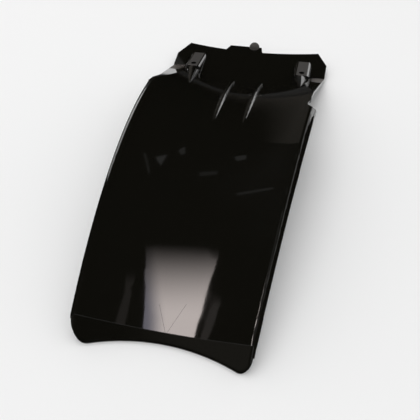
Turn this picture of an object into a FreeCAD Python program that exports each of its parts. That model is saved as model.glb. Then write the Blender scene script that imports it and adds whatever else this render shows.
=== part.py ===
"""Moulded mud flap for the shock absorber of an off-road motorcycle, as one injection-moulded piece.

The flap lies as it comes to rest on a table: head towards +Y, lip towards -Y, lug side up.
Its panel is a saddle. Along its length it is an arc about the wheel, and across it is a trough.
While it is built, the origin is where the panel's centre line meets the head plate.
"""
import FreeCAD, Part
import math
import os
from FreeCAD import Vector

# Driving dimensions, in millimetres and degrees
WALL = 2.5

ARC_RADIUS = 376.0          # long arc of the panel, which follows the wheel
ARC_TOP = 24.7              # fall of the panel where it meets the head
ARC_BOTTOM = 21.5           # rise of the panel at the lip crease
ARC_OVERRUN = 31.0          # the panel is lofted past the head plate to here, then trimmed
TROUGH_RADIUS = 165.0       # hollow across the panel
TROUGH_REACH = 100.0        # half width of the tools that follow the trough
TOOL_DEPTH = 60.0           # and their thickness
PANEL_SECTIONS = 5

CREASE_HALF_WIDTH = 58.7
SIDE_TAPER = 0.079          # half width gained per millimetre of length
ROLL_AT_CREASE = 2.8        # radius of the rolled rim along both long sides, which widens
ROLL_AT_HEAD = 5.0          # from the crease to the head
ROLL_SKIRT = 2.0
ROLL_ARCS = 4               # each roll is built from this many arcs

LIP_BEND = 25.0             # further bend of the lip below the crease
LIP_LENGTH = 22.0           # before its end is cut to the hollow arc
LIP_MIDDLE = 6.0            # what is left at the middle
LIP_END_RADIUS = 132.0      # hollow arc of its end, seen in plan
LIP_ROLL = 0.9              # share of the rim's roll that goes on along the lip
LIP_CORNER_INSET = 1.2      # its rounded corners stay this far inside the crease's ends
LIP_CORNER_RADIUS = {-1: 8.5, 1: 6.5}

HEAD_RISE = 5.8             # slope of the head plate as it lies
HEAD_TOP_MIDDLE = 57.5
HEAD_TOP_CORNER = (69.0, 64.8)
HEAD_SIDE_CORNER = (79.0, 45.0)
HEAD_FOOT_CORNER = (78.5, 24.5)
HEAD_OVERLAP = 5.0          # the plate runs on this far under the panel's valley

TAB_BASE = (-28.5, 10.5)
TAB_END = (-25.0, 8.5)
TAB_TOP = 66.6
TAB_ROOT = 3.0              # its overlap with the head plate
TAB_SHOULDER = 2.0          # its left side stays straight this far
KNOB_RADIUS = 5.4
KNOB_X = 0.5
KNOB_OUT = 0.7              # its centre stands this far past the tab
KNOB_RISE = -0.9
KNOB_TURN = 50.0            # keeps the sphere's seam away from the tab's faces

LEDGE_FALL = 23.7           # flat shoulders between panel and head
LEDGE_DROP = 1.0            # below the head plate's foot
LEDGE_INNER = 57.0
LEDGE_BACK = 30.0           # it runs on under the head plate
LEDGE_END = (74.0, -70.0)
LEDGE_BITE = 0.6            # and this deep into the panel

LUG_X = 55.5
LUG_WIDTH = 16.0
LUG_ROUND = 3.0             # round along both long edges of its face
LUG_BACK = 48.5
LUG_FRONT = 13.0
LUG_FRONT_HEIGHT = 10.1
LUG_HOLE_Y = 19.5
LUG_HOLE_DIAMETER = 5.5
LUG_FLOOR = 0.5             # lowest point of the lug's block
LUG_POCKET_WIDTH = 9.5
LUG_BACK_WALL = 7.0
LUG_POCKET_FLOOR = -20.0
TAIL_TIP = {-1: (-46.0, -36.0), 1: (57.5, -24.0)}
TAIL_WIDTH = 15.6
TAIL_TIP_WIDTH = 1.6
TAIL_DROP = 0.4             # the tail starts this far below the lug face
TAIL_SHOULDER = 4.8         # its walls end this far below its crown
TAIL_FOOT = 8.0
TAIL_TIP_CROWN = 0.2        # the same heights at the tip, from the panel's face
TAIL_TIP_SHOULDER = -0.3
TAIL_TIP_FOOT = -1.5

RIB_LINE = {-1: (-12.5, -8.0), 1: (16.0, 17.5)}    # across, at the head and at the run-out
RIB_WIDTH = 5.0
RIB_HEIGHT = 3.0
RIB_START = -5.0            # the ribs start under the head plate
RIB_LENGTH = 114.0
RIB_ROUND = 1.4             # their crown stands this far above their shoulders
RIB_FOOT = 1.8
RIB_STATIONS = (0.0, 0.5, 1.0)
BEAD_ARCS = 4               # arcs over the crown of a rib or tail

WAIST = (72.0, -42.0)       # the sides draw in below the head
WAIST_START = -78.0
SCALLOP_CENTER = (78.0, -79.5)
SCALLOP_RADIUS = 11.0
SCALLOP_SHOULDER = (69.3, -66.0)

REST_TILT = 0.55            # turns the built part so that head and lip both touch the table
FAR = 400.0                 # larger than the part, for trimming tools

ARC_CENTER_Y = -ARC_RADIUS * math.sin(math.radians(ARC_TOP))
ARC_CENTER_Z = -ARC_RADIUS * math.cos(math.radians(ARC_TOP))
X_AXIS = Vector(1, 0, 0)
SIDES = (-1, 1)


def on_panel(x, height, slope):
    """Point at a height above the long arc, where the panel falls towards +Y by slope degrees."""
    angle = math.radians(slope)
    radius = ARC_RADIUS + height
    return Vector(x, ARC_CENTER_Y + radius * math.sin(angle), ARC_CENTER_Z + radius * math.cos(angle))


def trough(x):
    """Height of the trough above the long arc at a distance from the centre line."""
    return TROUGH_RADIUS - math.sqrt(TROUGH_RADIUS ** 2 - x ** 2)


def half_width(y):
    crease_y = on_panel(0, 0, -ARC_BOTTOM).y
    return CREASE_HALF_WIDTH + SIDE_TAPER * (y - crease_y)


def roll_radius(y):
    crease_y = on_panel(0, 0, -ARC_BOTTOM).y
    return ROLL_AT_HEAD + (ROLL_AT_CREASE - ROLL_AT_HEAD) * y / crease_y


def arc_run(point, first, last, count):
    """Arcs in a row over a range of angles; point gives the place at an angle."""
    angles = [first + (last - first) * index / count for index in range(count + 1)]
    return [Part.Arc(point(a), point((a + b) / 2), point(b)) for a, b in zip(angles, angles[1:])]


def panel_section(width, outer, place, kept=1.0):
    """Closed section of the trough and its rims; place turns (x, height) into a point.

    A rim is a roll of an outer radius and a skirt. With only a share of the roll kept, it has no skirt.
    """
    end = (width - outer) / (1 + outer / TROUGH_RADIUS)
    lean = math.asin(end / TROUGH_RADIUS)
    center_x = end + outer * math.sin(lean)
    center_z = trough(end) - outer * math.cos(lean)
    start = math.pi / 2 + lean
    stop = start * (1 - kept)
    inner = outer - WALL
    inner_x = center_x + inner
    inner_z = TROUGH_RADIUS - math.sqrt((TROUGH_RADIUS + WALL) ** 2 - inner_x ** 2)

    def roll(side, radius, angle):
        return place(side * (center_x + radius * math.cos(angle)), center_z + radius * math.sin(angle))

    def foot(side):
        if kept < 1:
            return [roll(side, outer, stop), roll(side, inner, stop), roll(side, inner, start)]
        skirt_z = center_z - ROLL_SKIRT
        corners = [(center_x + outer, skirt_z), (inner_x, skirt_z), (inner_x, inner_z)]
        return [roll(side, outer, stop)] + [place(side * x, z) for x, z in corners]

    curves = [Part.Arc(roll(-1, outer, start), place(0, 0), roll(1, outer, start)),
              Part.Arc(foot(-1)[-1], place(0, -WALL), foot(1)[-1])]
    for side in SIDES:
        curves += arc_run(lambda angle, side=side: roll(side, outer, angle), start, stop, ROLL_ARCS)
        curves += [Part.LineSegment(a, b) for a, b in zip(foot(side), foot(side)[1:])]
    return Part.Wire(Part.__sortEdges__([curve.toShape() for curve in curves]))


def prism(points, bottom, top):
    """Upright prism over a closed outline of plan points."""
    wire = Part.makePolygon([Vector(x, y, bottom) for x, y in points + points[:1]])
    return Part.Face(wire).extrude(Vector(0, 0, top - bottom))


def panel():
    sections = []
    for index in range(PANEL_SECTIONS):
        slope = ARC_OVERRUN - (ARC_OVERRUN + ARC_BOTTOM) * index / (PANEL_SECTIONS - 1)
        y = on_panel(0, 0, slope).y
        sections.append(panel_section(half_width(y), roll_radius(y),
                                      lambda x, height, slope=slope: on_panel(x, height, slope)))
    return Part.makeLoft(sections, True, False)


def lip():
    fall = math.radians(ARC_BOTTOM + LIP_BEND)
    run = Vector(0, -math.cos(fall), -math.sin(fall)) * LIP_LENGTH

    def crease(x, height):
        return on_panel(x, height, -ARC_BOTTOM)

    def end(x, height):
        return crease(x, height) + run

    narrow = CREASE_HALF_WIDTH + SIDE_TAPER * run.y
    sections = [panel_section(width, ROLL_AT_CREASE, place, LIP_ROLL)
                for width, place in ((CREASE_HALF_WIDTH, crease), (narrow, end))]
    return Part.makeLoft(sections, True, True).cut(lip_waste())


def lip_waste():
    """What lies past the hollow end of the lip and its rounded corners, seen in plan."""
    plan = math.cos(math.radians(ARC_BOTTOM + LIP_BEND))
    center_y = on_panel(0, 0, -ARC_BOTTOM).y - LIP_MIDDLE * plan - LIP_END_RADIUS
    waste = Part.makeCylinder(LIP_END_RADIUS, 2 * FAR, Vector(0, center_y, -FAR))
    for sign in SIDES:
        waste = waste.fuse(lip_corner_waste(sign, center_y))
    return waste


def lip_corner_waste(sign, center_y):
    """What lies outside a corner's round, which is tangent to the end arc about center_y."""
    radius = LIP_CORNER_RADIUS[sign]
    x = CREASE_HALF_WIDTH - LIP_CORNER_INSET - radius
    reach = LIP_END_RADIUS + radius
    y = center_y + math.sqrt(reach ** 2 - x ** 2)
    inner = x * LIP_END_RADIUS / reach
    outer = CREASE_HALF_WIDTH + radius
    low = y - LIP_LENGTH
    block = prism([(sign * inner, y), (sign * outer, y), (sign * outer, low), (sign * inner, low)], -FAR, FAR)
    return block.cut(Part.makeCylinder(radius, 2 * FAR, Vector(sign * x, y, -FAR)))


def trough_block(depth):
    """Solid under a surface that lies at a depth below the panel's face."""
    def below(x, drop):
        radius = TROUGH_RADIUS + drop
        return on_panel(x, TROUGH_RADIUS - math.sqrt(radius ** 2 - x ** 2), ARC_OVERRUN)

    def arc(drop):
        return Part.Arc(*(below(x, drop) for x in (-TROUGH_REACH, 0, TROUGH_REACH))).toShape()

    low = depth + TOOL_DEPTH
    ends = [Part.makeLine(below(x, depth), below(x, low)) for x in (-TROUGH_REACH, TROUGH_REACH)]
    outline = Part.Wire(Part.__sortEdges__([arc(depth), arc(low)] + ends))
    return Part.Face(outline).revolve(Vector(0, ARC_CENTER_Y, ARC_CENTER_Z), X_AXIS, ARC_OVERRUN)


def head_height(y):
    return y * math.tan(math.radians(HEAD_RISE))


def below_head(drop):
    """Half space under a plane parallel to the head plate's face."""
    block = Part.makeBox(2 * FAR, 2 * FAR, FAR, Vector(-FAR, -FAR, -FAR - drop))
    block.rotate(Vector(), X_AXIS, HEAD_RISE)
    return block


def ledge_plane_block(drop, thickness):
    """Slab parallel to the ledges, its upper face at a drop below theirs."""
    block = Part.makeBox(2 * FAR, 2 * FAR, thickness, Vector(-FAR, -FAR, -drop - thickness))
    block.rotate(Vector(), X_AXIS, -LEDGE_FALL)
    foot_y = HEAD_FOOT_CORNER[1]
    block.translate(Vector(0, foot_y, head_height(foot_y) - LEDGE_DROP))
    return block


def ledges():
    slab = ledge_plane_block(0, WALL).common(trough_block(LEDGE_BITE))
    inner_end = (LEDGE_INNER, LEDGE_END[1])
    plan = [(LEDGE_INNER, LEDGE_BACK), inner_end, LEDGE_END, WAIST, HEAD_FOOT_CORNER,
            (HEAD_FOOT_CORNER[0], LEDGE_BACK)]
    return [slab.common(prism([(sign * x, y) for x, y in plan], -FAR, FAR)) for sign in SIDES]


def head():
    top_left = Vector(-HEAD_TOP_CORNER[0], HEAD_TOP_CORNER[1], -WALL)
    top_right = Vector(HEAD_TOP_CORNER[0], HEAD_TOP_CORNER[1], -WALL)
    top_edge = Part.Arc(top_left, Vector(0, HEAD_TOP_MIDDLE, -WALL), top_right).toShape()
    foot = [(LEDGE_INNER, HEAD_FOOT_CORNER[1]), (LEDGE_INNER, -HEAD_OVERLAP)]
    side = [HEAD_SIDE_CORNER, HEAD_FOOT_CORNER] + foot
    outline = [top_right] + [Vector(x, y, -WALL) for x, y in side]
    outline += [Vector(-x, y, -WALL) for x, y in reversed(side)] + [top_left]
    plate = Part.Face(Part.Wire([top_edge] + Part.makePolygon(outline).Edges)).extrude(Vector(0, 0, WALL))
    root = HEAD_TOP_MIDDLE - TAB_ROOT
    tab_plan = [(TAB_BASE[0], root), (TAB_BASE[0], HEAD_TOP_MIDDLE + TAB_SHOULDER), (TAB_END[0], TAB_TOP),
                (TAB_END[1], TAB_TOP), (TAB_BASE[1], HEAD_TOP_MIDDLE), (TAB_BASE[1], root)]
    plate = plate.fuse(prism(tab_plan, -WALL, 0))
    knob = Part.makeSphere(KNOB_RADIUS)
    knob.rotate(Vector(), Vector(1, 1, 0), KNOB_TURN)
    knob.translate(Vector(KNOB_X, TAB_TOP + KNOB_OUT, KNOB_RISE))
    plate = plate.fuse(knob)
    plate.rotate(Vector(), X_AXIS, HEAD_RISE)
    between_ledges = Part.makeBox(2 * LEDGE_INNER, 2 * FAR, 2 * FAR, Vector(-LEDGE_INNER, -FAR, -FAR))
    return plate.cut(trough_block(WALL / 2).common(between_ledges))


def lug_top(y):
    back_height = head_height(LUG_BACK)
    return back_height + (LUG_FRONT_HEIGHT - back_height) * (LUG_BACK - y) / (LUG_BACK - LUG_FRONT)


def lug_block(sign, width, back, front, drop, floor):
    """Block under the lug's sloping face, from back to front, its top lowered by a drop."""
    x = sign * LUG_X - width / 2
    corners = [(back, floor), (back, lug_top(back) - drop), (front, lug_top(front) - drop), (front, floor)]
    profile = [Vector(x, y, z) for y, z in corners + corners[:1]]
    return Part.Face(Part.makePolygon(profile)).extrude(X_AXIS * width)


def lug(sign):
    """Lug before it is hollowed, with the long edges of its face rounded."""
    block = lug_block(sign, LUG_WIDTH, LUG_BACK, LUG_FRONT, 0, LUG_FLOOR)
    boxes = [(edge, edge.BoundBox) for edge in block.Edges]
    long_edges = [edge for edge, box in boxes if box.ZMin > LUG_FLOOR + WALL / 2 and box.YLength > LUG_WIDTH]
    return block.makeFillet(LUG_ROUND, long_edges)


def lug_hole(sign):
    """Middle of the screw hole's mouth, and its axis, which points out of the lug's face."""
    lean = math.atan((lug_top(LUG_FRONT) - lug_top(LUG_BACK)) / (LUG_BACK - LUG_FRONT))
    return Vector(sign * LUG_X, LUG_HOLE_Y, lug_top(LUG_HOLE_Y)), Vector(0, math.sin(lean), math.cos(lean))


def bead_section(place, x, width, top, shoulder, foot):
    """Closed arched section: walls from the foot to the shoulders, and an arc over the top."""
    half = width / 2
    rise = top - shoulder
    radius = (half ** 2 + rise ** 2) / (2 * rise)
    spread = math.asin(half / radius)

    def arch(angle):
        return place(x + radius * math.sin(angle), top - radius + radius * math.cos(angle))

    corners = [arch(spread), place(x + half, foot), place(x - half, foot), arch(-spread)]
    crown = [arc.toShape() for arc in arc_run(arch, -spread, spread, BEAD_ARCS)]
    return Part.Wire(crown + [Part.makeLine(a, b) for a, b in zip(corners, corners[1:])])


def lug_tail(sign):
    """Arched tail that runs from the lug's front down into the panel."""
    tip_x, tip_y = TAIL_TIP[sign]
    slope = math.degrees(math.asin((tip_y - ARC_CENTER_Y) / (ARC_RADIUS + trough(tip_x))))
    ground = on_panel(tip_x, trough(tip_x), slope).z
    crown = LUG_FRONT_HEIGHT - TAIL_DROP
    root = bead_section(lambda x, z: Vector(x, LUG_FRONT + WALL / 2, z),
                        sign * LUG_X, TAIL_WIDTH, crown, crown - TAIL_SHOULDER, crown - TAIL_FOOT)
    tip = bead_section(lambda x, z: Vector(x, tip_y, ground + z),
                       tip_x, TAIL_TIP_WIDTH, TAIL_TIP_CROWN, TAIL_TIP_SHOULDER, TAIL_TIP_FOOT)
    return Part.makeLoft([root, tip], True, True)


def rib(sign):
    """Rib that is tallest at the head and runs out into the panel."""
    top_x, end_x = RIB_LINE[sign]
    sections = []
    for share in RIB_STATIONS:
        slope = ARC_TOP - math.degrees((RIB_START + (RIB_LENGTH - RIB_START) * share) / ARC_RADIUS)
        middle = top_x + (end_x - top_x) * share
        ground = trough(middle)
        top = ground + RIB_HEIGHT * (1 - share)
        sections.append(bead_section(lambda x, height, slope=slope: on_panel(x, height, slope),
                                     middle, RIB_WIDTH, top, top - RIB_ROUND, ground - RIB_FOOT))
    return Part.makeLoft(sections, True, False).cut(below_head(WALL / 2))


def side_waste(sign):
    """Plan region outside the waist below the head, with the scallop on the right."""
    start = (sign * half_width(WAIST_START), WAIST_START)
    line = [(sign * HEAD_FOOT_CORNER[0], HEAD_FOOT_CORNER[1]), (sign * WAIST[0], WAIST[1])]
    if sign > 0:
        line += [SCALLOP_SHOULDER, (SCALLOP_SHOULDER[0], SCALLOP_CENTER[1]), (FAR, SCALLOP_CENTER[1])]
    else:
        line += [start, (-FAR, WAIST_START)]
    region = prism(line + [(sign * FAR, FAR), (line[0][0], FAR)], -FAR, FAR)
    if sign > 0:
        region = region.fuse(Part.makeCylinder(SCALLOP_RADIUS, 2 * FAR, Vector(*SCALLOP_CENTER, -FAR)))
    return region


def mud_flap():
    shell = panel().fuse(lip()).cut(ledge_plane_block(-FAR, FAR))
    body = shell.multiFuse(ledges())
    body = body.cut(side_waste(-1)).cut(side_waste(1)).cut(below_head(WALL))
    body = body.fuse(head())
    for sign in SIDES:
        body = body.fuse(lug(sign)).fuse(lug_tail(sign)).fuse(rib(sign))
    for sign in SIDES:
        body = body.cut(lug_block(sign, LUG_POCKET_WIDTH, LUG_BACK - LUG_BACK_WALL, LUG_FRONT + WALL,
                                  WALL, LUG_POCKET_FLOOR))
        mouth, axis = lug_hole(sign)
        drill = Part.makeCylinder(LUG_HOLE_DIAMETER / 2, 3 * WALL, mouth - axis * 1.5 * WALL, axis)
        body = body.cut(drill)
    return body.removeSplitter()


def lie_down(shape):
    """Placement that lets the part rest on a table, its box centred over the origin."""
    tilt = FreeCAD.Placement(Vector(), FreeCAD.Rotation(X_AXIS, REST_TILT))
    points = [tilt.multVec(point) for point in shape.tessellate(0.05)[0]]
    middle = [(min(values) + max(values)) / 2 for values in zip(*((p.x, p.y) for p in points))]
    floor = min(point.z for point in points)
    return FreeCAD.Placement(Vector(-middle[0], -middle[1], -floor), FreeCAD.Rotation()).multiply(tilt)


os.makedirs("parts", exist_ok=True)
flap = mud_flap()
rest = lie_down(flap)
flap.transformShape(rest.toMatrix())
print("solids", len(flap.Solids), "valid", flap.isValid(), "volume", round(flap.Volume))
for sign in SIDES:
    mouth, axis = lug_hole(sign)
    print("lug hole at", rest.multVec(mouth), "axis", rest.Rotation.multVec(axis))
flap.exportStep("parts/mud_flap.step")
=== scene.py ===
"""Studio scene for the moulded mud flap: glossy black plastic on a white table.

The flap is the CAD part itself. This script gives it its material and makes the table, lights and camera.
Gloss shows what it mirrors, so most of the studio is lamps, grey walls and black flags that only
reflections see.
"""
import math
import bpy
from mathutils import Matrix, Vector


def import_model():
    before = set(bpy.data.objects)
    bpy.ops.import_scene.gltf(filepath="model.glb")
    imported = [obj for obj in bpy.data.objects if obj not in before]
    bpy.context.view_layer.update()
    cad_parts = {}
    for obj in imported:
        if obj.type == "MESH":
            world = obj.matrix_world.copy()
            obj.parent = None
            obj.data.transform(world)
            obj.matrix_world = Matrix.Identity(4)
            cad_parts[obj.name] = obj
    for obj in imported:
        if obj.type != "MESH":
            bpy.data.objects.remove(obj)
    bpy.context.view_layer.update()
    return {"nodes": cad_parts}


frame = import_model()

scene = bpy.context.scene
scene.view_settings.view_transform = "Standard"

# Camera, fitted to the photograph's outline, in metres and degrees
EYE = Vector((0.07274, -0.34801, 0.29632))
AZIMUTH = 13.356
ELEVATION = 44.854
ROLL = -1.590
LENS = 46.171
SENSOR = 36.0
CLIP = (0.01, 100.0)

TABLE_HALF = 15.0
TABLE_COLOR = (0.86, 0.86, 0.86, 1)

# Overhead softbox, seen from the patch that it makes on the panel; its ranges are per metre of height.
# It spreads along X towards its far end, and fades out there along a slanted line.
PATCH = Vector((0.0, -0.155, 0.02))
SOFTBOX_HEIGHT = 2.0
SOFTBOX_X = (-0.42, -0.15)
SOFTBOX_Y = (-0.42, 0.34)
SOFTBOX_SPREAD = 0.17
SOFTBOX_FADE = 0.46
SOFTBOX_SLANT = 0.27
SOFTBOX_RADIANCE = 10.0
SOFTBOX_COLOR = (1.12, 1.0, 0.96, 1)
# Its bluish side: the colour, where it starts and ends along a slanted direction, and the slant
SOFTBOX_EDGE_COLOR = (0.26, 0.25, 0.3, 1)
SOFTBOX_EDGE = (-0.03, -0.16)
SOFTBOX_EDGE_SLANT = -0.4
# Faint strips beside the softbox: a range along X and a radiance
STRIPS = (("strip_left", (-0.515, -0.465), 0.35), ("strip_right", (0.0, 0.05), 0.2))
STRIP_Y = (-0.42, 0.06)
STRIP_FADE = 0.1

# What lights the table: an even world, and one large panel that reflections do not see, given by its
# ranges along X and Y and its height
WORLD_LEVEL = 0.82
KEY = ((-1.8, 0.6), (-1.0, 1.4), 2.5)
KEY_RADIANCE = 1.9

# Upright cards that only reflections see: the azimuth of the plane from +Y to the right, its distance, the
# outline as (azimuth, elevation) pairs seen from the origin, and a radiance. Angles are in degrees.
# Flags are black, and the cards of the room, which share one distance, are faint glints.
ROOM = 0.95
CARDS = (
    ("lamp_left", -42.0, 4.0, ((-24, 7), (-60, 7), (-60, 48), (-24, 48)), 2.2),
    ("lamp_right", 28.0, 2.0, ((8, 0), (48, 0), (48, 20), (8, 20)), 2.0),
    ("flag_back", 0.0, 1.0, ((-25, 0), (3, 0), (3, 15), (6.5, 26), (10, 35), (14, 43), (19, 50), (25, 57),
                             (25, 65), (-25, 65)), 0.0),
    ("flag_left_high", -45.0, 1.5, ((-25, 15), (-28, 22), (-33, 28), (-37, 32), (-42, 36), (-47, 40),
                                    (-54, 43), (-66, 47), (-80, 50), (-80, 68), (-25, 68)), 0.0),
    ("flag_left_low", -45.0, 1.5, ((-22, 0), (-80, 0), (-80, 7), (-22, 7)), 0.0),
    ("flag_left", -90.0, 1.2, ((-62, 0), (-100, 0), (-100, 12), (-75, 40), (-62, 50)), 0.0),
    ("flag_right", 90.0, 1.2, ((55, 0), (110, 0), (110, 10), (55, 10)), 0.0),
    ("room_1", 0.0, ROOM, ((2.7, 49.9), (-1.4, 47.2), (0.5, 52.6)), 0.3),
    ("room_2", 0.0, ROOM, ((7.1, 49.6), (6.4, 49.4), (4.9, 56.5), (5.7, 56.7)), 0.2),
    ("room_3", 0.0, ROOM, ((-14.5, 49.7), (-19.4, 46.2), (-20.2, 47.6), (-15.5, 51.2)), 0.12),
    ("room_4", 0.0, ROOM, ((-19.0, 38.1), (-20.7, 35.5), (-22.0, 37.2), (-20.8, 39.4)), 0.18),
    ("room_5", 0.0, ROOM, ((-4.4, 43.8), (-5.9, 41.2), (-6.8, 44.1), (-5.8, 45.5)), 0.18),
    ("room_6", 0.0, ROOM, ((-32.4, 49.8), (-37.7, 41.0), (-38.7, 41.3), (-33.6, 50.3)), 0.15),
)
# Grey walls, like the cards but with a fade: a direction, and where along it they are full and dark
WALLS = (
    ("wall_behind", 0.0, ROOM, ((-3, 0), (-3, 10), (-12, 32.5), (-15.9, 30.9), (-20.2, 27.6), (-24.9, 25.5),
                                (-27, 24.5), (-27, 0)), 0.11, ((-1.0, 0.0, -0.45), 0.2, 0.08)),
    ("wall_front", 180.0, 1.2, ((152, 6), (222, 6), (222, 43), (152, 43)), 0.12,
     ((-1.0, 0.0, 0.0), 0.4, 0.0)),
)
WALL_COLOR = (1.0, 0.92, 0.82, 1)
# Flags close beside the rims: a place along X, and ranges along Y and Z
RIM_FLAGS = (
    ("flag_rim_left", -0.092, (-0.22, -0.1), (0.0, 0.08)),
    ("flag_rim_right", 0.088, (-0.22, 0.04), (0.0, 0.08)),
)
# Level cards: ranges along X and Y, a height and a radiance. Those on the table lie just above it.
TABLE_GAP = 0.001
FAR_X = 1.2
FAR_Y = 1.0
PAST_HEAD = 0.197
LEVEL_CARDS = (
    ("flag_table_left", (-FAR_X, -0.06), (-FAR_Y, 0.1), TABLE_GAP, 0.0),
    ("flag_table_far", (-FAR_X, -0.13), (0.1, PAST_HEAD), TABLE_GAP, 0.0),
    ("flag_table_back", (-FAR_X, -0.15), (PAST_HEAD, FAR_Y), TABLE_GAP, 0.0),
    ("card_table_left", (-0.15, -0.03), (PAST_HEAD, FAR_Y), TABLE_GAP, 0.03),
    ("card_table", (-0.03, 0.06), (PAST_HEAD, FAR_Y), TABLE_GAP, 0.045),
    ("flag_table_right", (0.075, FAR_X), (-FAR_Y, 0.0), TABLE_GAP, 0.0),
    ("flag_table_front", (-0.06, 0.075), (-FAR_Y, -0.15), TABLE_GAP, 0.0),
    ("flag_over_left_rim", (-0.09, -0.057), (-0.21, -0.1), 0.06, 0.0),
    ("card_over_right_rim", (0.028, 0.052), (-0.2, -0.06), 0.1, 0.15),
    ("flag_top", (-3.0, 1.0), (-1.2, 3.0), 2.4, 0.0),
)

# Colours of the plastic, of the painted sheen on the lug faces, of the knob, and of the painted reflection
# on the shoulder ledges
BLACK = (0.0045, 0.0042, 0.0031, 1)
LUG_PAINTED_SHEEN = (0.034, 0.031, 0.028, 1)
KNOB_GREY = (0.055, 0.051, 0.047, 1)
LEDGE_PAINTED_REFLECTION = (0.06, 0.05, 0.042, 1)
# Its reflection, and what the matt faces of the lugs and the knob add to the strength of it
IOR = 1.5
SPECULAR = 0.5
SPECULAR_MATT = -0.3

# Roughness of clean plastic, and what each mark adds to it
ROUGH = 0.03
ROUGH_HAZE = 0.025
ROUGH_SMEAR = 0.015
ROUGH_LEDGE = 0.5
ROUGH_SCORE = 0.25
ROUGH_MATT = 0.6
# Noise of haze, smears and grain: a scale and a detail; then the values between which a mask rises
HAZE_NOISE = (35.0, 4.0)
HAZE_RISE = (0.35, 0.75)
SMEAR_NOISE = (9.0, 3.0)
SMEAR_RISE = (0.45, 0.7)
GRAIN_NOISE = (900.0, 3.0)
GRAIN_STRENGTH = 0.05

# Places and sizes of the marks in millimetres; a normal is given by its parts along the axes
MM = 0.001
GRAIN_DEPTH = 0.05
BEVEL = 0.6
BEVEL_SAMPLES = 6
# The painted sheen on the lug faces is picked by place and by which way a face points; those faces are also
# made matt.
LUG_X = (50.4, 60.6)
LUG_X_SOFT = 0.15
LUG_Y = (131.2, 166.0)
LUG_Y_SOFT = 0.2
LUG_NORMAL_Y = (0.04, 0.09)
LUG_NORMAL_Z = (0.9, 0.96)
KNOB = (0.5, 185.2, 9.2)
KNOB_RIM = (6.2, 5.6)
# The painted reflection on the shoulder ledges is picked by place and by which way a face points; it is
# also made matt.
LEDGE_X = (61.0, 72.0)
LEDGE_Y = (117.0, 142.0)
LEDGE_Y_SOFT = 5.0
LEDGE_NORMAL_X = (-0.06, 0.06)
LEDGE_NORMAL_X_SOFT = 0.02
LEDGE_NORMAL_Y = (0.36, 0.43)
LEDGE_NORMAL_Y_SOFT = 0.01
# Score lines on the panel: where each starts and ends in plan
SCORES = (((-6.4, -160.7), (1.4, -176.6)), ((10.9, -158.0), (2.5, -176.6)))
SCORE_HALF = 0.2
SCORE_END_SOFT = 0.5
SCORE_NORMAL_Z = (0.0, 0.1)


def metres(values):
    """Values in millimetres, in metres."""
    return [value * MM for value in values]


def camera():
    data = bpy.data.cameras.new("photo_camera")
    data.lens = LENS
    data.sensor_width = SENSOR
    data.clip_start, data.clip_end = CLIP
    item = bpy.data.objects.new("photo_camera", data)
    scene.collection.objects.link(item)
    azimuth, elevation, roll = (math.radians(value) for value in (AZIMUTH, ELEVATION, ROLL))
    back = Vector((math.sin(azimuth) * math.cos(elevation), -math.cos(azimuth) * math.cos(elevation),
                   math.sin(elevation)))
    level = Vector((math.cos(azimuth), math.sin(azimuth), 0))
    rise = back.cross(level)
    right = level * math.cos(roll) + rise * math.sin(roll)
    up = rise * math.cos(roll) - level * math.sin(roll)
    turn = Matrix((right, up, back)).transposed()
    item.matrix_world = Matrix.Translation(EYE) @ turn.to_4x4()
    scene.camera = item


class Graph:
    """Short way to add and join nodes in one node tree."""

    def __init__(self, tree):
        self.tree = tree
        tree.nodes.clear()

    def add(self, kind, **settings):
        node = self.tree.nodes.new(kind)
        for name, value in settings.items():
            setattr(node, name, value)
        return node

    def feed(self, socket, value):
        if hasattr(value, "is_output"):
            self.tree.links.new(value, socket)
        else:
            socket.default_value = value

    def math(self, operation, *values, clamp=False):
        node = self.add("ShaderNodeMath", operation=operation, use_clamp=clamp)
        for socket, value in zip(node.inputs, values):
            self.feed(socket, value)
        return node.outputs[0]

    def band(self, value, low, high, soft):
        """1 where value lies between low and high, with soft edges."""
        rise = self.step(value, low - soft, low + soft)
        fall = self.step(value, high + soft, high - soft)
        return self.product(rise, fall)

    def step(self, value, start, end):
        node = self.add("ShaderNodeMapRange", interpolation_type="SMOOTHSTEP")
        for name, item in (("Value", value), ("From Min", start), ("From Max", end)):
            self.feed(node.inputs[name], item)
        return node.outputs["Result"]

    def product(self, first, *others):
        total = first
        for value in others:
            total = self.math("MULTIPLY", total, value)
        return total

    def noise(self, vector, scale, detail):
        node = self.add("ShaderNodeTexNoise")
        self.feed(node.inputs["Vector"], vector)
        self.feed(node.inputs["Scale"], scale)
        self.feed(node.inputs["Detail"], detail)
        return node.outputs["Fac"]

    def along(self, direction):
        """How far a point of the object lies along a direction."""
        node = self.add("ShaderNodeVectorMath", operation="DOT_PRODUCT")
        self.feed(node.inputs[0], self.add("ShaderNodeTexCoord").outputs["Object"])
        node.inputs[1].default_value = direction
        return node.outputs["Value"]

    def mix(self, factor, first, second):
        node = self.add("ShaderNodeMix", data_type="RGBA")
        self.feed(node.inputs["Factor"], factor)
        self.feed(node.inputs[6], first)
        self.feed(node.inputs[7], second)
        return node.outputs[2]


def new_material(name):
    material = bpy.data.materials.new(name)
    material.use_nodes = True
    return material, Graph(material.node_tree)


def lug_sheen_and_knob_masks(graph, coords, place, normal):
    """Top faces of the lugs, picked by where they face, which get a painted sheen of light grey, and the
    knob, which is a lighter matt grey. Both are made matt.
    """
    across = graph.band(graph.math("ABSOLUTE", place.outputs["X"]), *metres(LUG_X), LUG_X_SOFT * MM)
    along = graph.band(place.outputs["Y"], *metres(LUG_Y), LUG_Y_SOFT * MM)
    facing = graph.step(normal.outputs["Y"], *LUG_NORMAL_Y)
    upward = graph.step(normal.outputs["Z"], *LUG_NORMAL_Z)
    lug_sheen = graph.product(across, along, facing, upward)
    offset = graph.add("ShaderNodeVectorMath", operation="DISTANCE")
    graph.feed(offset.inputs[0], coords)
    offset.inputs[1].default_value = metres(KNOB)
    knob = graph.step(offset.outputs["Value"], *metres(KNOB_RIM))
    return lug_sheen, knob


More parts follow.
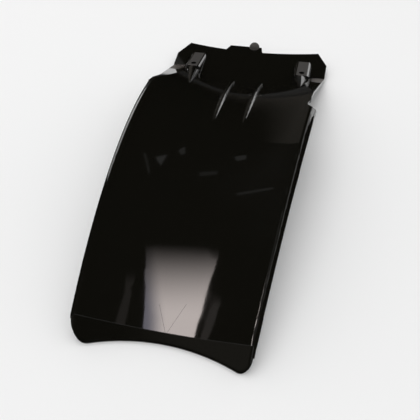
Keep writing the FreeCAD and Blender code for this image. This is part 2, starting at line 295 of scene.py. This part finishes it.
def ledge_reflection_mask(graph, place, normal):
    """Painted reflection, light tan, on the shoulders beside the lugs, picked by place and by which way a
    face points.
    """
    along = graph.band(place.outputs["Y"], *metres(LEDGE_Y), LEDGE_Y_SOFT * MM)
    outer = graph.step(graph.math("ABSOLUTE", place.outputs["X"]), *metres(LEDGE_X))
    level = graph.band(normal.outputs["X"], *LEDGE_NORMAL_X, LEDGE_NORMAL_X_SOFT)
    fall = graph.band(normal.outputs["Y"], *LEDGE_NORMAL_Y, LEDGE_NORMAL_Y_SOFT)
    return graph.product(along, outer, level, fall)


def score_mask(graph, place, normal):
    """Two fine score lines that run together at the lip's crease."""
    total = 0.0
    for (x0, y0), (x1, y1) in SCORES:
        length = math.hypot(x1 - x0, y1 - y0)
        side_x = (y1 - y0) / length
        side_y = (x0 - x1) / length
        offset = graph.math("MULTIPLY", place.outputs["X"], side_x)
        offset = graph.math("MULTIPLY_ADD", place.outputs["Y"], side_y, offset)
        offset = graph.math("SUBTRACT", offset, (x0 * side_x + y0 * side_y) * MM)
        line = graph.step(graph.math("ABSOLUTE", offset), SCORE_HALF * MM, 0.5 * SCORE_HALF * MM)
        along = graph.band(place.outputs["Y"], y1 * MM, y0 * MM, SCORE_END_SOFT * MM)
        total = graph.math("MAXIMUM", graph.product(line, along), total)
    return graph.product(total, graph.step(normal.outputs["Z"], *SCORE_NORMAL_Z))


def plastic():
    material, graph = new_material("black_plastic")
    out = graph.add("ShaderNodeOutputMaterial")
    shader = graph.add("ShaderNodeBsdfPrincipled")
    graph.feed(out.inputs["Surface"], shader.outputs["BSDF"])
    coords = graph.add("ShaderNodeTexCoord").outputs["Object"]
    place = graph.add("ShaderNodeSeparateXYZ")
    graph.feed(place.inputs[0], coords)
    geometry = graph.add("ShaderNodeNewGeometry")
    normal = graph.add("ShaderNodeSeparateXYZ")
    graph.feed(normal.inputs[0], geometry.outputs["Normal"])
    lug_sheen, knob = lug_sheen_and_knob_masks(graph, coords, place, normal)
    matt_faces = graph.math("MAXIMUM", lug_sheen, knob)
    ledge_reflection = ledge_reflection_mask(graph, place, normal)
    score = score_mask(graph, place, normal)
    # Over the black: a painted sheen on the lug faces, the lighter grey knob, and a painted reflection on
    # the shoulder ledges.
    color = graph.mix(knob, graph.mix(lug_sheen, BLACK, LUG_PAINTED_SHEEN), KNOB_GREY)
    graph.feed(shader.inputs["Base Color"], graph.mix(ledge_reflection, color, LEDGE_PAINTED_REFLECTION))
    haze = graph.step(graph.noise(coords, *HAZE_NOISE), *HAZE_RISE)
    smear = graph.step(graph.noise(coords, *SMEAR_NOISE), *SMEAR_RISE)
    marks = ((haze, ROUGH_HAZE), (smear, ROUGH_SMEAR), (ledge_reflection, ROUGH_LEDGE), (score, ROUGH_SCORE),
             (matt_faces, ROUGH_MATT))
    rough = ROUGH
    for mask, added in marks:
        rough = graph.math("MULTIPLY_ADD", mask, added, rough, clamp=True)
    graph.feed(shader.inputs["Roughness"], rough)
    specular = graph.math("MULTIPLY_ADD", matt_faces, SPECULAR_MATT, SPECULAR)
    graph.feed(shader.inputs["Specular IOR Level"], specular)
    shader.inputs["IOR"].default_value = IOR
    bevel = graph.add("ShaderNodeBevel", samples=BEVEL_SAMPLES)
    bevel.inputs["Radius"].default_value = BEVEL * MM
    bump = graph.add("ShaderNodeBump")
    bump.inputs["Strength"].default_value = GRAIN_STRENGTH
    bump.inputs["Distance"].default_value = GRAIN_DEPTH * MM
    graph.feed(bump.inputs["Height"], graph.noise(coords, *GRAIN_NOISE))
    graph.feed(bump.inputs["Normal"], bevel.outputs[0])
    graph.feed(shader.inputs["Normal"], bump.outputs[0])
    return material


def sheet(name, corners, material):
    mesh = bpy.data.meshes.new(name)
    mesh.from_pydata(corners, [], [tuple(range(len(corners)))])
    mesh.materials.append(material)
    item = bpy.data.objects.new(name, mesh)
    scene.collection.objects.link(item)
    return item


def table():
    material, graph = new_material("white_table")
    out = graph.add("ShaderNodeOutputMaterial")
    shader = graph.add("ShaderNodeBsdfDiffuse")
    shader.inputs["Color"].default_value = TABLE_COLOR
    graph.feed(out.inputs["Surface"], shader.outputs[0])
    span = (-TABLE_HALF, TABLE_HALF)
    sheet("table", flat(span, span, 0), material)


def world():
    item = bpy.data.worlds.new("studio")
    scene.world = item
    item.use_nodes = True
    graph = Graph(item.node_tree)
    out = graph.add("ShaderNodeOutputWorld")
    background = graph.add("ShaderNodeBackground")
    background.inputs["Color"].default_value = (WORLD_LEVEL, WORLD_LEVEL, WORLD_LEVEL, 1)
    graph.feed(out.inputs["Surface"], background.outputs[0])


def upright(azimuth, distance, outline):
    """Corners of an upright sheet from directions that are seen from the origin."""
    turn = math.radians(azimuth)
    corners = []
    for side, lift in outline:
        angle = math.radians(side) - turn
        across = distance * math.tan(angle)
        height = distance / math.cos(angle) * math.tan(math.radians(lift))
        corners.append((distance * math.sin(turn) + across * math.cos(turn),
                        distance * math.cos(turn) - across * math.sin(turn), height))
    return corners


def flat(xs, ys, z):
    """Corners of a level rectangle."""
    return [(xs[0], ys[0], z), (xs[1], ys[0], z), (xs[1], ys[1], z), (xs[0], ys[1], z)]


def card(name, corners, material):
    """Sheet that only reflections see."""
    item = sheet(name, corners, material)
    item.visible_camera = False
    item.visible_diffuse = False
    item.visible_shadow = False
    item.visible_transmission = False


def lamp_material(name, radiance, color=(1, 1, 1, 1), fade=None, edge=None):
    """Light of even radiance, unless it has a fade or an edge.

    A fade is a direction, and where along it the light is full and dark. An edge is a direction, where
    along it another colour starts and has turned into the main one, and that colour.
    """
    material, graph = new_material(name)
    out = graph.add("ShaderNodeOutputMaterial")
    light = graph.add("ShaderNodeEmission")
    light.inputs["Color"].default_value = color
    light.inputs["Strength"].default_value = radiance
    if edge is not None:
        direction, start, end, edge_color = edge
        share = graph.step(graph.along(direction), start, end)
        graph.feed(light.inputs["Color"], graph.mix(share, edge_color, color))
    if fade is not None:
        direction, full, dark = fade
        share = graph.step(graph.along(direction), dark, full)
        graph.feed(light.inputs["Strength"], graph.product(share, radiance))
    graph.feed(out.inputs["Surface"], light.outputs[0])
    return material


def overhead(name, x_range, y_range, radiance, fade, spread=0.0, edge=None):
    """Lamp panel above the patch, in units of its height, wider at its far end by spread."""
    xs = [PATCH.x + value * SOFTBOX_HEIGHT for value in x_range]
    ys = [PATCH.y + value * SOFTBOX_HEIGHT for value in y_range]
    dark = ys[1] + SOFTBOX_SLANT * xs[0]
    fading = ((SOFTBOX_SLANT, 1.0, 0.0), dark - fade * SOFTBOX_HEIGHT, dark)
    if edge is not None:
        direction = Vector((1.0, SOFTBOX_EDGE_SLANT, 0.0))
        start, end = (direction.dot(PATCH) + value * SOFTBOX_HEIGHT for value in edge)
        edge = (direction, start, end, SOFTBOX_EDGE_COLOR)
    material = lamp_material(name, radiance, SOFTBOX_COLOR, fading, edge)
    z = PATCH.z + SOFTBOX_HEIGHT
    far = xs[1] + spread * SOFTBOX_HEIGHT
    card(name, [(xs[0], ys[0], z), (xs[1], ys[0], z), (far, ys[1], z), (xs[0], ys[1], z)], material)


def lights():
    key = sheet("key_light", flat(*KEY), lamp_material("key_light", KEY_RADIANCE))
    key.visible_camera = False
    key.visible_glossy = False
    overhead("softbox", SOFTBOX_X, SOFTBOX_Y, SOFTBOX_RADIANCE, SOFTBOX_FADE, SOFTBOX_SPREAD, SOFTBOX_EDGE)
    for name, x_range, radiance in STRIPS:
        overhead(name, x_range, STRIP_Y, radiance, STRIP_FADE)
    for name, azimuth, distance, outline, radiance in CARDS:
        card(name, upright(azimuth, distance, outline), lamp_material(name, radiance))
    for name, x, ys, zs in RIM_FLAGS:
        corners = [(x, ys[0], zs[0]), (x, ys[1], zs[0]), (x, ys[1], zs[1]), (x, ys[0], zs[1])]
        card(name, corners, lamp_material(name, 0.0))
    for name, azimuth, distance, outline, radiance, fade in WALLS:
        card(name, upright(azimuth, distance, outline), lamp_material(name, radiance, WALL_COLOR, fade))
    for name, xs, ys, height, radiance in LEVEL_CARDS:
        card(name, flat(xs, ys, height), lamp_material(name, radiance))


flap = frame["nodes"]["mud_flap"]
flap.data.materials.clear()
flap.data.materials.append(plastic())
camera()
table()
world()
lights()
